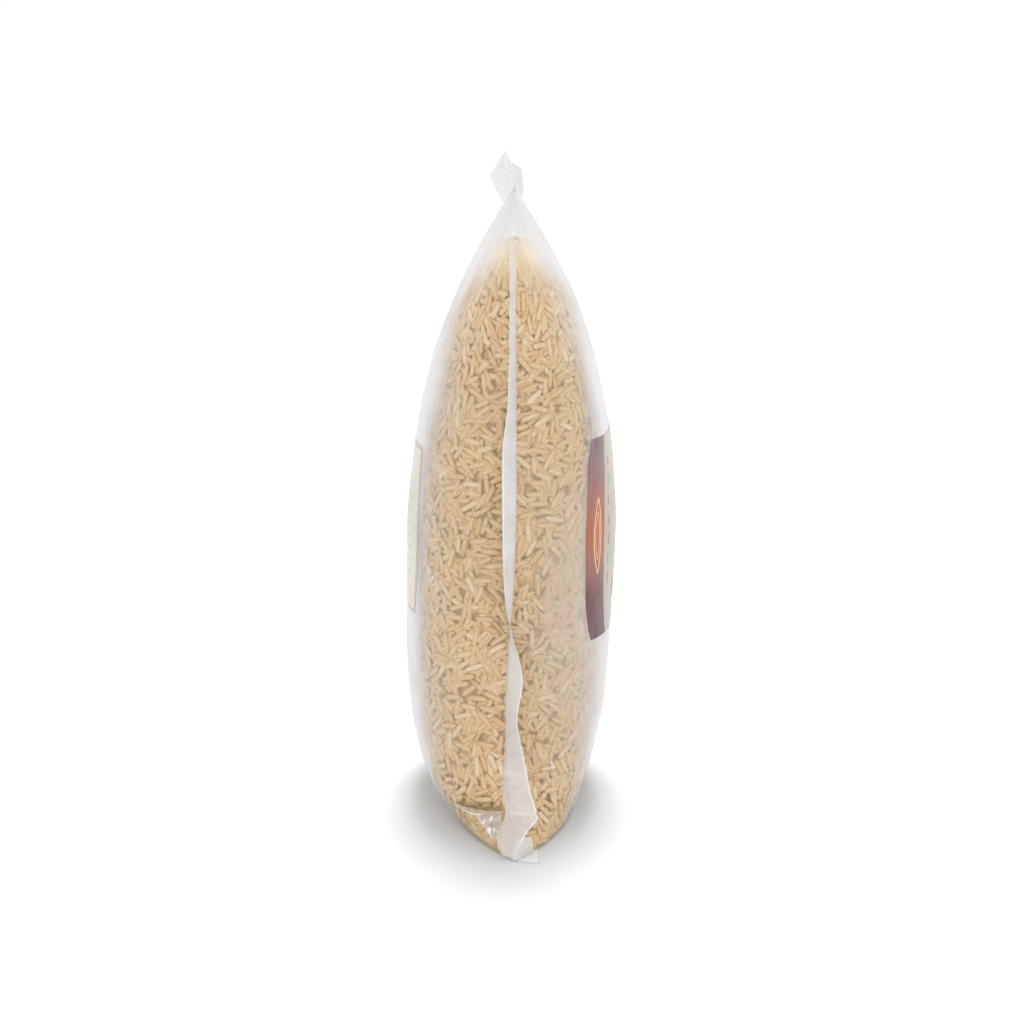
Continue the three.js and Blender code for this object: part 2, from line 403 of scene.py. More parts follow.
class Shades:
    """A node material, with short calls for the nodes that the materials here share."""

    def __init__(self, name):
        self.material = bpy.data.materials.new(name)
        self.material.use_nodes = True
        self.tree = self.material.node_tree
        self.tree.nodes.clear()
        self.out = self.tree.nodes.new("ShaderNodeOutputMaterial")

    def node(self, kind, **sockets):
        made = self.tree.nodes.new(kind)
        for key, value in sockets.items():
            self.feed(made.inputs[key.replace("_", " ")], value)
        return made

    def feed(self, socket, value):
        if isinstance(value, bpy.types.NodeSocket):
            self.tree.links.new(value, socket)
        else:
            socket.default_value = value

    def math(self, operation, *values, clamp=False):
        made = self.tree.nodes.new("ShaderNodeMath")
        made.operation = operation
        made.use_clamp = clamp
        for socket, value in zip(made.inputs, values):
            self.feed(socket, value)
        return made.outputs[0]

    def number(self, name):
        made = self.tree.nodes.new("ShaderNodeAttribute")
        made.attribute_name = name
        return made.outputs["Fac"]

    def noise(self, scale, detail=2.0):
        place = self.tree.nodes.new("ShaderNodeTexCoord").outputs["Object"]
        made = self.node("ShaderNodeTexNoise", Vector=place, Scale=scale, Detail=detail)
        return made.outputs["Fac"]

    def mix(self, share, first, second):
        made = self.tree.nodes.new("ShaderNodeMix")
        made.data_type = "RGBA"
        self.feed(made.inputs["Factor"], share)
        self.feed(made.inputs[6], first)
        self.feed(made.inputs[7], second)
        return made.outputs[2]

    def ramp(self, value, *stops):
        made = self.tree.nodes.new("ShaderNodeValToRGB")
        self.feed(made.inputs[0], value)
        elements = made.color_ramp.elements
        while len(elements) < len(stops):
            elements.new(0.5)
        for element, (place, colour) in zip(elements, stops):
            element.position = place
            element.color = colour
        return made.outputs[0]

    def bump(self, height, strength, distance):
        made = self.node("ShaderNodeBump", Height=height, Strength=strength, Distance=distance)
        return made.outputs["Normal"]

    def facing(self):
        """How squarely the surface is seen: 1 face on, 0 edge on."""
        made = self.node("ShaderNodeLayerWeight", Blend=0.5)
        return self.math("SUBTRACT", 1.0, made.outputs["Facing"])

    def see_through(self, cover, shader):
        """The shader over what lies behind, by cover."""
        clear = self.tree.nodes.new("ShaderNodeBsdfTransparent")
        mixed = self.tree.nodes.new("ShaderNodeMixShader")
        self.feed(mixed.inputs[0], cover)
        self.feed(mixed.inputs[1], clear.outputs[0])
        self.feed(mixed.inputs[2], shader)
        return mixed.outputs[0]

    def finish(self, shader):
        self.tree.links.new(shader, self.out.inputs["Surface"])
        return self.material


def film_material():
    """Milky film: it hides more with haze and where it is seen edge on, is warm close to the rice, and
    has painted grey shade where it is seen edge on.
    """
    s = Shades("milky_film")
    streak = s.noise(90, 3)
    uneven = s.math("MULTIPLY_ADD", streak, 0.2, 0.9)
    clear = s.math("SUBTRACT", 1.0, s.math("MULTIPLY", s.number("haze"), uneven))
    path = s.math("DIVIDE", 1.0, s.math("MAXIMUM", s.facing(), 0.12))
    cover = s.math("SUBTRACT", 1.0, s.math("POWER", clear, path), clamp=True)
    plain = s.ramp(streak, (0.3, (0.585, 0.555, 0.54, 1)), (0.7, (0.635, 0.605, 0.59, 1)))
    warm = s.mix(s.number("high"), (0.67, 0.525, 0.36, 1), (0.86, 0.70, 0.47, 1))
    tint = s.mix(s.number("warm"), plain, warm)
    # Painted shade: the tint turns grey where the film is seen edge on, only above its foot.
    painted_edge_shade = s.math("MULTIPLY", s.math("POWER", s.math("SUBTRACT", 1.0, s.facing()), 7.0), 0.5)
    painted_edge_shade = s.math("MULTIPLY", painted_edge_shade, s.number("outline"))
    tint = s.mix(painted_edge_shade, tint, (0.42, 0.41, 0.41, 1))
    dents = s.bump(s.noise(260, 3), 0.15, 0.0006)
    skin = s.node("ShaderNodeBsdfPrincipled", Base_Color=tint, Roughness=0.32, Normal=dents)
    return s.finish(s.see_through(cover, skin.outputs[0]))


def seal_material():
    """Two layers of film welded together: whiter, with a fine weld texture, a painted highlight on the
    cut edge and wherever the edge number is high, and painted shade where the shade number is high.
    """
    s = Shades("welded_film")
    edge = s.number("edge")
    cloud = s.noise(140, 3)
    # Painted highlight: where the edge number is high the film is a little more solid and its tint
    # whiter.
    cover = s.math("ADD", s.number("cover"), s.math("MULTIPLY", edge, 0.18), clamp=True)
    cover = s.math("MULTIPLY", cover, s.math("MULTIPLY_ADD", cloud, 0.2, 0.9), clamp=True)
    body = s.ramp(cloud, (0.3, (0.68, 0.665, 0.67, 1)), (0.7, (0.75, 0.735, 0.74, 1)))
    # Painted shade: the tint darkens where the shade number is high.
    body = s.mix(s.number("shade"), body, (0.59, 0.585, 0.59, 1))
    tint = s.mix(edge, body, (0.88, 0.87, 0.87, 1))
    weld = s.bump(s.noise(900, 2), 0.3, 0.0003)
    skin = s.node("ShaderNodeBsdfPrincipled", Base_Color=tint, Roughness=0.38, Normal=weld)
    return s.finish(s.see_through(cover, skin.outputs[0]))


def fold_material(name, dark, light):
    """A tint on the film at the corner's fold: the painted shadow band, or the tan band under it."""
    s = Shades(name)
    colour = s.ramp(s.noise(500, 3), (0.3, dark), (0.7, light))
    skin = s.node("ShaderNodeBsdfPrincipled", Base_Color=colour, Roughness=0.6)
    return s.finish(s.see_through(s.number("cover"), skin.outputs[0]))


def grain_material():
    """Parboiled rice: amber grains, each its own tone, a little darker at the tips."""
    s = Shades("golden_rice")
    mottle = s.math("MULTIPLY_ADD", s.noise(700, 2), 0.3, -0.15)
    tone = s.math("ADD", s.number("tone"), mottle, clamp=True)
    body = s.ramp(
        tone,
        (0.0, (0.60, 0.38, 0.175, 1)),
        (0.35, (0.65, 0.44, 0.215, 1)),
        (0.7, (0.68, 0.50, 0.285, 1)),
        (1.0, (0.74, 0.62, 0.43, 1)),
    )
    tip = s.math("POWER", s.math("ABSOLUTE", s.number("reach")), 6.0)
    colour = s.mix(s.math("MULTIPLY", tip, 0.4), body, (0.48, 0.28, 0.11, 1))
    rough = s.bump(s.noise(1500, 2), 0.2, 0.0002)
    skin = s.node("ShaderNodeBsdfPrincipled", Base_Color=colour, Roughness=0.42, Normal=rough)
    skin.inputs["Subsurface Weight"].default_value = 0.25
    skin.inputs["Subsurface Radius"].default_value = (0.6, 0.6, 0.6)
    skin.inputs["Subsurface Scale"].default_value = 0.001
    return s.finish(skin.outputs[0])


def core_material():
    """The shaded rice deep between the loose grains."""
    s = Shades("shaded_rice")
    colour = s.ramp(s.noise(330, 4), (0.35, (0.66, 0.45, 0.20, 1)), (0.65, (0.84, 0.62, 0.35, 1)))
    rough = s.bump(s.noise(400, 3), 0.8, 0.001)
    skin = s.node("ShaderNodeBsdfPrincipled", Base_Color=colour, Roughness=0.7, Normal=rough)
    return s.finish(skin.outputs[0])


def grain_outline(s, across, up, middle, half_length, half_breadth, line):
    """1 on a thin outline shaped like a grain that stands upright."""
    rise = s.math("DIVIDE", s.math("SUBTRACT", up, middle), half_length)
    edge = s.math("MULTIPLY", half_breadth, s.math("SUBTRACT", 1.0, s.math("MULTIPLY", rise, rise)))
    off = s.math("SUBTRACT", s.math("ABSOLUTE", across), edge)
    on_line = s.math("LESS_THAN", s.math("ABSOLUTE", off), line)
    return s.math("MULTIPLY", on_line, s.math("LESS_THAN", s.math("ABSOLUTE", rise), 1.0))


def grain_field(s, across, up, middle, half_length, half_breadth):
    """1 inside a shape like a grain that stands upright."""
    rise = s.math("DIVIDE", s.math("SUBTRACT", up, middle), half_length)
    edge = s.math("MULTIPLY", half_breadth, s.math("SUBTRACT", 1.0, s.math("MULTIPLY", rise, rise)))
    return s.math("LESS_THAN", s.math("ABSOLUTE", across), edge)


def front_print_material():
    """Generic front print: a plum border with a warm glow and gold grain outlines round a cream field."""
    s = Shades("front_print")
    up = s.number("up")
    across = s.number("across")
    from_side = s.number("from_side")
    rise = s.math("DIVIDE", s.math("SUBTRACT", up, GLOW_MIDDLE), GLOW_REACH)
    glow = s.math("POWER", 2.718, s.math("MULTIPLY", -1.0, s.math("MULTIPLY", rise, rise)))
    plum = s.ramp(s.noise(60, 2), (0.3, (0.150, 0.085, 0.100, 1)), (0.7, (0.260, 0.170, 0.185, 1)))
    dark = s.ramp(s.noise(60, 2), (0.3, (0.084, 0.026, 0.029, 1)), (0.7, (0.145, 0.062, 0.066, 1)))
    plum = s.mix(s.math("DIVIDE", s.math("SUBTRACT", 92.0, up), 16.0, clamp=True), plum, dark)
    warm = s.mix(glow, plum, (0.37, 0.098, 0.046, 1))
    band = s.math("LESS_THAN", from_side, BORDER_WIDTH)
    off_emblem = s.math("SUBTRACT", from_side, EMBLEM_INSET)
    outer_line = grain_outline(s, off_emblem, up, EMBLEM_MIDDLE, 12.5, 2.6, 0.28)
    inner_line = grain_outline(s, off_emblem, up, EMBLEM_MIDDLE, 8.0, 1.4, 0.18)
    gold_line = s.math("MAXIMUM", outer_line, inner_line)
    cream = s.ramp(s.noise(45, 2), (0.3, (0.43, 0.36, 0.27, 1)), (0.7, (0.51, 0.44, 0.345, 1)))
    middle_grain = grain_field(s, across, up, 101.0, 14.0, 4.2)
    left_grain = grain_field(s, s.math("ADD", across, 10.0), up, 98.0, 11.0, 3.4)
    right_grain = grain_field(s, s.math("SUBTRACT", across, 10.0), up, 98.0, 11.0, 3.4)
    grains = s.math("MAXIMUM", middle_grain, s.math("MAXIMUM", left_grain, right_grain))
    bar_row = s.math("LESS_THAN", s.math("ABSOLUTE", s.math("SUBTRACT", up, BAR_MIDDLE)), 3.0)
    bar = s.math("MULTIPLY", bar_row, s.math("LESS_THAN", s.math("ABSOLUTE", across), 18.0))
    dash = s.math("LESS_THAN", s.math("FRACT", s.math("DIVIDE", up, 6.5)), 0.55)
    off_dashes = s.math("ABSOLUTE", s.math("SUBTRACT", from_side, DASHES_INSET))
    strip = s.math("LESS_THAN", off_dashes, 0.8)
    inside = s.math("LESS_THAN", s.math("ABSOLUTE", s.math("SUBTRACT", up, GLOW_MIDDLE)), 22.0)
    dashes = s.math("MULTIPLY", dash, s.math("MULTIPLY", strip, inside))
    colour = s.mix(dashes, cream, (0.25, 0.20, 0.19, 1))
    colour = s.mix(grains, colour, (0.60, 0.38, 0.12, 1))
    colour = s.mix(bar, colour, (0.150, 0.085, 0.100, 1))
    colour = s.mix(band, colour, s.mix(gold_line, warm, (0.80, 0.55, 0.22, 1)))
    dents = s.bump(s.noise(260, 3), 0.2, 0.0005)
    skin = s.node("ShaderNodeBsdfPrincipled", Base_Color=colour, Roughness=0.3, Normal=dents)
    skin.inputs["Specular IOR Level"].default_value = 0.3
    return s.finish(s.see_through(s.math("MULTIPLY_ADD", band, 0.06, 0.9), skin.outputs[0]))


def back_print_material():
    """Generic back print: a cream panel with a thin brown border and plain grey bars."""
    s = Shades("back_print")
    up = s.number("up")
    across = s.number("across")
    from_side = s.number("from_side")
    off_middle = s.math("ABSOLUTE", s.math("SUBTRACT", up, (BACK_HIGH + BACK_LOW) / 2))
    from_end = s.math("SUBTRACT", (BACK_HIGH - BACK_LOW) / 2, off_middle)
    inward = s.math("MINIMUM", from_side, from_end)
    border = s.math("LESS_THAN", s.math("ABSOLUTE", s.math("SUBTRACT", inward, 0.9)), 0.35)
    cream = s.ramp(s.noise(45, 2), (0.3, (0.57, 0.505, 0.41, 1)), (0.7, (0.65, 0.585, 0.49, 1)))
    row = s.math("LESS_THAN", s.math("FRACT", s.math("DIVIDE", up, 4.2)), 0.42)
    column = s.math("LESS_THAN", s.math("ABSOLUTE", across), 25.0)
    block = s.math("LESS_THAN", s.math("ABSOLUTE", s.math("SUBTRACT", up, 96.0)), 17.0)
    bars = s.math("MULTIPLY", row, s.math("MULTIPLY", column, block))
    colour = s.mix(bars, cream, (0.50, 0.48, 0.45, 1))
    colour = s.mix(border, colour, (0.33, 0.20, 0.12, 1))
    dents = s.bump(s.noise(260, 3), 0.2, 0.0005)
    skin = s.node("ShaderNodeBsdfPrincipled", Base_Color=colour, Roughness=0.3, Normal=dents)
    return s.finish(s.see_through(s.math("MULTIPLY_ADD", border, 0.05, 0.9), skin.outputs[0]))


# Pieces

def make_film():
    """The film round the rice, closed over the base and at the foot of the top seal."""
    levels, around = 250, 380
    share = np.linspace(0, 1, levels)
    height = BODY_HEIGHT * (0.72 * share + 0.28 * (1 - np.cos(np.pi * share)) / 2)
    angle = np.arange(around) * 2 * np.pi / around
    h, a = np.meshgrid(height, angle, indexing="ij")
    points = film_points(h, a)
    points[0, :, 2] = 0.0
    faces = ring_faces(levels, around).tolist()
    faces += lid_faces(0, around, True) + lid_faces((levels - 1) * around, around, False)
    # What the material reads: the film's haze, how far its tint follows the rice, and where its grey
    # outline of painted shade shows
    numbers = {
        "haze": haze(h, a),
        "warm": warmth(h, a),
        "high": smoothstep(172, 186, h),
        # The outline number lets the painted grey shade show only above the foot.
        "outline": smoothstep(15, 60, h),
    }
    return add_mesh("film_body", points, faces, film_material(), numbers)


def rice_mound(height, depth):
    """How much of the section the rice fills at a height: 1 up to its shoulder, 0 on top."""
    rise = (height - RICE_SHOULDER + depth) / (RICE_TOP - RICE_SHOULDER)
    return np.sqrt(np.clip(1 - np.clip(rise, 0, 1) ** 2.2, 0, 1))


def rice_points(height, angle):
    """The outer face of the rice, inside the film and closed by a mound on top."""
    mound = rice_mound(height, 0)
    inner = section(height, angle) - outward(height, angle) * (gap(height, angle) + 0.1)[..., None]
    centre = along(LEAN_ROWS, 1, height) + CENTRING[0]
    inner[..., 0] = centre + (inner[..., 0] - centre) * mound
    inner[..., 1] = inner[..., 1] * (0.15 + 0.85 * mound)
    return inner


def core_points(height, angle):
    """The solid core under the loose grains."""
    mound = rice_mound(height, BED_DEPTH)
    deep = BED_DEPTH * (0.22 + 0.78 * smoothstep(1, 9, height))
    depth = gap(height, angle) + deep + 0.3 * lattice_noise(section(height, angle), 3.2, 8)
    inner = section(height, angle, depth, 1.3 * deep)
    centre = along(LEAN_ROWS, 1, height) + CENTRING[0]
    inner[..., 0] = centre + (inner[..., 0] - centre) * mound
    inner[..., 1] = inner[..., 1] * (0.15 + 0.85 * mound)
    return inner


def rice_surface(levels=130, around=220):
    """Points, faces and normals of the rice's outer face."""
    share = np.linspace(0, 1, levels)
    height = RICE_FOOT + (RICE_TOP - RICE_FOOT) * (0.6 * share + 0.4 * (1 - np.cos(np.pi * share)) / 2)
    angle = np.arange(around) * 2 * np.pi / around
    h, a = np.meshgrid(height, angle, indexing="ij")
    points = rice_points(h, a)
    up = np.gradient(points, axis=0)
    round_ = np.roll(points, -1, axis=1) - np.roll(points, 1, axis=1)
    normal = np.cross(round_, up)
    normal[0] = (0, 0, -1)
    normal[-1] = (0, 0, 1)
    normal /= np.maximum(np.linalg.norm(normal, axis=-1, keepdims=True), 1e-9)
    faces = ring_faces(levels, around).tolist()
    faces += lid_faces(0, around, True) + lid_faces((levels - 1) * around, around, False)
    return points, normal, faces


def scatter_on(points, normals, faces, count, rng):
    """Even random places on a surface: position and normal."""
    points = points.reshape(-1, 3)
    normals = normals.reshape(-1, 3)
    triangles = []
    for face in faces:
        for k in range(1, len(face) - 1):
            triangles.append((face[0], face[k], face[k + 1]))
    triangles = np.asarray(triangles)
    corner = points[triangles]
    area = np.linalg.norm(np.cross(corner[:, 1] - corner[:, 0], corner[:, 2] - corner[:, 0]), axis=1)
    chosen = rng.choice(len(triangles), count, p=area / area.sum())
    u, v = rng.rand(2, count)
    flip = u + v > 1
    u[flip], v[flip] = 1 - u[flip], 1 - v[flip]
    weights = np.stack([1 - u - v, u, v], 1)
    place = (corner[chosen] * weights[..., None]).sum(1)
    normal = (normals[triangles[chosen]] * weights[..., None]).sum(1)
    return place, normal / np.maximum(np.linalg.norm(normal, axis=1, keepdims=True), 1e-9)


def room_inside(points):
    """How far points lie inside the plain pouch's faces, in millimetres, less than 0 outside."""
    height = np.clip(points[..., 2], 0, BODY_HEIGHT)
    full = fullness(height)
    across = np.clip(np.abs(points[..., 1] - CENTRING[1]) / half_width(height), 0, 1)
    swell = (1 - across ** roundness(height)) ** (1 / (1 + full))
    centre = along(LEAN_ROWS, 1, height) + CENTRING[0]
    room = half_thickness(height) * swell - np.abs(points[..., 0] - centre)
    return np.minimum(room, np.minimum(points[..., 2], BODY_HEIGHT - points[..., 2]))


def settle_grains(places, normals, rng):
    """Lays grains one by one on the core: each rests on those under it and stays under the film."""
    cell_size = 8.0
    cells = {}
    seats, sides, ways = [], [], []
    reach = (GRAIN_LENGTH / 2 - GRAIN_WIDTH / 2) * np.linspace(-1, 1, 5)
    flat = GRAIN_THICKNESS / GRAIN_WIDTH
    store = np.zeros((len(places), 5, 3))
    store_normal = np.zeros((len(places), 3))
    store_height = np.zeros(len(places))
    neighbours = [(i, j, k) for i in (-1, 0, 1) for j in (-1, 0, 1) for k in (-1, 0, 1)]
    breadth = 0.88 * GRAIN_WIDTH
    count = 0
    for place, normal in zip(places, normals):
        u = np.cross(normal, (0.0, 0.0, 1.0) if abs(normal[2]) < 0.9 else (1.0, 0.0, 0.0))
        u /= np.linalg.norm(u)
        v = np.cross(normal, u)
        key = tuple((place // cell_size).astype(int))
        near = []
        for i, j, k in neighbours:
            near += cells.get((key[0] + i, key[1] + j, key[2] + k), ())
        turns = rng.rand() * np.pi + np.array([0, 0.25, 0.5, 0.75]) * np.pi
        lowest = np.full(4, -BED_DEPTH + 1.1 * GRAIN_THICKNESS)
        if near:
            near = np.asarray(near)
            near = near[store_normal[near] @ normal > 0.3]
        if len(near):
            offset = store[near] - place
            flat_at = np.stack([offset @ u, offset @ v], -1)
            mine = reach[None, :, None] * np.stack([np.cos(turns), np.sin(turns)], -1)[:, None, :]
            apart = flat_at[None, :, :, None, :] - mine[:, None, None, :, :]
            nearest = (apart ** 2).sum(-1).min(axis=(2, 3))
            stack = np.sqrt(np.clip(breadth ** 2 - nearest, 0, None)) * flat
            needed = np.where(stack > 0, store_height[near][None, :] + stack, -99)
            lowest = np.maximum(lowest, needed.max(1))
        best = int(np.argmin(lowest))
        if lowest[best] > -0.42 * GRAIN_THICKNESS:
            continue
        way = np.cos(turns[best]) * u + np.sin(turns[best]) * v
        seat = place + normal * lowest[best]
        if seat[2] > RICE_TOP - LOOSE_LIMIT:
            continue
        if room_inside(seat + 1.2 * reach[:, None] * way).min() < 0.42 * GRAIN_THICKNESS:
            continue
        store[count] = place + reach[:, None] * way
        store_normal[count] = normal
        store_height[count] = lowest[best]
        cells.setdefault(key, []).append(count)
        count += 1
        seats.append(seat)
        sides.append(normal)
        ways.append(way)
    return np.array(seats), np.array(sides), np.array(ways)


def grain_shape():
    """One grain of unit half sizes: two blunt tips and four rings between them."""
    rings = [(-0.92, 0.52), (-0.58, 0.95), (0.55, 1.0), (0.92, 0.58)]
    sides = 5
    points = [(-1.0, 0.0, 0.0)]
    for place, size in rings:
        for side in range(sides):
            turn = 2 * math.pi * side / sides
            points.append((place, size * math.cos(turn), size * math.sin(turn)))
    points.append((1.0, 0.0, 0.0))
    faces = []
    for side in range(sides):
        after = (side + 1) % sides
        faces.append((0, 1 + side, 1 + after, 1 + after))
        for ring in range(len(rings) - 1):
            first = 1 + ring * sides
            faces.append((first + side, first + sides + side, first + sides + after, first + after))
        last = 1 + (len(rings) - 1) * sides
        faces.append((len(points) - 1, last + after, last + side, last + side))
    return np.array(points), np.array(faces)


def press_grains(places, normals, rng):
    """Grains pressed together at random under the loose ones, so that no gap shows the core."""
    u = np.cross(normals, (0.3, 0.2, 1.0))
    u /= np.linalg.norm(u, axis=1, keepdims=True)
    v = np.cross(normals, u)
    turn = rng.rand(len(places), 1) * np.pi
    ways = np.cos(turn) * u + np.sin(turn) * v
    heights = -BED_DEPTH + GRAIN_THICKNESS * rng.uniform(0.35, 0.85, len(places))
    seats = places + normals * heights[:, None]
    ends = np.linspace(-1.2, 1.2, 3) * (GRAIN_LENGTH - GRAIN_WIDTH) / 2
    room = room_inside(seats[:, None, :] + ends[:, None] * ways[:, None, :]).min(axis=1)
    fits = (room > 0.45 * GRAIN_THICKNESS) & (seats[:, 2] < RICE_TOP - LOOSE_LIMIT)
    return seats[fits], normals[fits], ways[fits]


def make_grains(material):
    """The rice: pressed grains and loose ones, joined into pieces of a few thousand."""
    rng = np.random.RandomState(21)
    surface = rice_surface()
    pressed = press_grains(*scatter_on(*surface, UNDER_GRAINS, rng), rng)
    loose = settle_grains(*scatter_on(*surface, LOOSE_TRIES, rng), rng)
    seats, sides, ways = [np.concatenate(pair) for pair in zip(pressed, loose)]
    shape, faces = grain_shape()
    total = len(seats)
    tilt = rng.normal(0, 0.09, total)[:, None]
    ways = ways + sides * tilt
    ways /= np.linalg.norm(ways, axis=1, keepdims=True)
    across = np.cross(sides, ways)
    across /= np.linalg.norm(across, axis=1, keepdims=True)
    over = np.cross(ways, across)
    length = GRAIN_LENGTH / 2 * rng.uniform(0.86, 1.05, total)
    broken = rng.rand(total) < 0.06
    length[broken] *= 0.66
    width = GRAIN_WIDTH / 2 * rng.uniform(0.90, 1.06, total)
    thick = GRAIN_THICKNESS / 2 * rng.uniform(0.92, 1.06, total)
    local = shape[None] * np.stack([length, width, thick], -1)[:, None, :]
    axes = np.stack([ways, across, over], 1)
    points = seats[:, None, :] + np.einsum("gpk,gkc->gpc", local, axes)
    tone = np.clip(rng.normal(0.55, 0.21, total), 0, 1)
    pieces = []
    per_piece = 4000
    for number, first in enumerate(range(0, total, per_piece), 1):
        some = points[first:first + per_piece]
        base = np.arange(len(some))[:, None, None] * len(shape)
        joined = (faces[None] + base).reshape(-1, 4)
        joined = [list(dict.fromkeys(face)) for face in joined.tolist()]
        numbers = {
            "tone": np.repeat(tone[first:first + per_piece], len(shape)),
            "reach": np.tile(shape[:, 0], len(some)),
        }
        pieces.append(add_mesh(f"rice_grains_{number}", some, joined, material, numbers))
    return pieces


def make_core():
    """The closed core that the grains lie on."""
    levels, around = 110, 180
    share = np.linspace(0, 1, levels)
    low = 0.5
    height = low + (RICE_TOP - BED_DEPTH - low) * share
    angle = np.arange(around) * 2 * np.pi / around
    h, a = np.meshgrid(height, angle, indexing="ij")
    points = core_points(h, a)
    faces = ring_faces(levels, around).tolist()
    faces += lid_faces(0, around, True) + lid_faces((levels - 1) * around, around, False)
    return add_mesh("rice_core", points, faces, core_material())


def fin_grid(rows, way, stations=220, columns=12):
    """A side seal as a grid of points, and the numbers that its material reads."""
    top = BODY_HEIGHT + TOP_SEAL_HEIGHT
    foot = np.linspace(FIN_FOOT, 16, 60, endpoint=False)
    height = np.concatenate([foot, np.linspace(16, top, stations - 60)])
    seam = np.stack([
        along(rows, 1, height) + CENTRING[0],
        way * half_width(np.minimum(height, BODY_HEIGHT)) + CENTRING[1],
        height,
    ], -1)
    lean = np.radians(along(rows, 2, height))
    droop = np.radians(along(rows, 3, height))
    width = np.interp(height, *zip(*CORNER_ROWS))
    out = np.stack([np.sin(lean) * np.cos(droop), way * np.cos(lean) * np.cos(droop), -np.sin(droop)], -1)
    share = np.concatenate([[-SEAL_ROOT / FIN_WIDTH], np.linspace(0, 1, columns - 1)])
    grid = seam[:, None, :] + out[:, None, :] * (share[None, :] * width[:, None])[..., None]
    grid[:, 0] = seam - np.array([0, way * SEAL_ROOT, 0])
    wave = lattice_noise(np.stack([height, 0 * height, 0 * height + 7 * way], -1), 9, 11)
    grid[..., 0] += (share.clip(0, 1)[None, :] ** 2) * 0.35 * wave[:, None]
    # Painted highlights: bright fold lines across the strip near 13 and 25 mm, and a bright free edge
    # that fades out above 172 mm.
    painted_fold_highlight = 0.3 * bump(13.2, 0.8, height) + 0.25 * bump(24.6, 0.8, height)
    lit = 1 - smoothstep(172, 190, height)
    edge = np.maximum(smoothstep(0.93, 0.99, share)[None, :] * lit[:, None], painted_fold_highlight[:, None])
    cover = along(SEAL_COVER_ROWS, 1, height)[:, None] * (1 - 0.3 * smoothstep(0.25, 0.0, share)[None, :])
    # Painted shade: darker toward the top of each fin.
    shade = np.broadcast_to(smoothstep(196, 205, height)[:, None], cover.shape)
    return grid, {"edge": edge, "cover": cover, "shade": shade}


def top_seal_grid(stations=160, columns=8):
    """The seal across the top, from side seal to side seal."""
    share = np.linspace(0, 1, stations)
    y = PANEL_WIDTH * (share - 0.5) + CENTRING[1]
    sway = 0.5 * np.sin(2 * np.pi * share) * np.sin(np.pi * share)
    low = (1 - share) * along(NEAR_FIN_ROWS, 1, BODY_HEIGHT) + share * along(FAR_FIN_ROWS, 1, BODY_HEIGHT)
    top = BODY_HEIGHT + TOP_SEAL_HEIGHT
    high = (1 - share) * along(NEAR_FIN_ROWS, 1, top) + share * along(FAR_FIN_ROWS, 1, top) + sway
    rise = np.concatenate([[-SEAL_ROOT / TOP_SEAL_HEIGHT], np.linspace(0, 1, columns - 1)])
    x = low[:, None] + (high - low)[:, None] * rise.clip(0, 1)[None, :] + CENTRING[0]
    z = BODY_HEIGHT + TOP_SEAL_HEIGHT * rise
    grid = np.stack([x, np.broadcast_to(y[:, None], x.shape), np.broadcast_to(z[None, :], x.shape)], -1)
    # Painted shade over all of the top seal.
    return grid, {"edge": np.zeros(x.shape), "cover": np.full(x.shape, 0.38), "shade": np.ones(x.shape)}


def bottom_seal_grid(stations=60, columns=6):
    """The seal across the bottom, folded flat under the pouch, its tail past the near corner."""
    share = np.linspace(-1, 1, stations)
    seam = along(LEAN_ROWS, 1, 0) + CENTRING[0]
    low = seam - 1 + np.abs(share)
    high = seam + BOTTOM_SEAL_WIDTH - 1.5 * (1 - np.abs(share))
    reach = np.linspace(0, 1, columns)
    x = low[:, None] + (high - low)[:, None] * reach[None, :]
    y = share[:, None] * (PANEL_WIDTH / 2 + BOTTOM_SEAL_END * reach[None, :]) + CENTRING[1]
    grid = np.stack([x, y, np.full(x.shape, SEAL_THICKNESS / 2 + 0.05)], -1)
    # Painted light: the whole bottom seal is tinted bright, brightest at its tail.
    edge = np.broadcast_to(0.75 + 0.25 * smoothstep(0.9, 1.0, reach)[None, :], x.shape)
    return grid, {"edge": edge, "cover": np.full(x.shape, 0.8)}


def near_angle(height, x):
    """The angle round the pouch of the point on the photographed side that has a given x."""
    off = x - along(LEAN_ROWS, 1, height)
    share = np.clip(np.abs(off) / half_thickness(height), 0, 0.999)
    across = (1 - share ** (1 + fullness(height))) ** (1 / roundness(height))
    return np.where(off < 0, -1.0, 1.0) * np.arccos(across)


def patch_grid(upper, lower, lifts, rows=14, columns=60):
    """A patch that lies on the film between two lines of (height, x) points."""
    place = np.linspace(0, 1, columns)
    ends = []
    for line in (upper, lower):
        line = np.asarray(line, float)
        length = np.concatenate([[0], np.cumsum(np.hypot(*np.diff(line, axis=0).T))])
        ends.append(np.stack([np.interp(place, length / length[-1], line[:, k]) for k in (0, 1)], -1))
    down = np.linspace(0, 1, rows)[:, None, None]
    spots = ends[0] * (1 - down) + ends[1] * down
    ends_low = np.sqrt(np.sin(np.pi * place.clip(0.02, 0.98)))
    lift = np.interp(down[..., 0], np.linspace(0, 1, len(lifts)), lifts) * ends_low
    grid = film_points(spots[..., 0], near_angle(spots[..., 0], spots[..., 1]), lift)
    return grid, np.broadcast_to(down[..., 0], grid.shape[:2]), np.broadcast_to(place, grid.shape[:2])


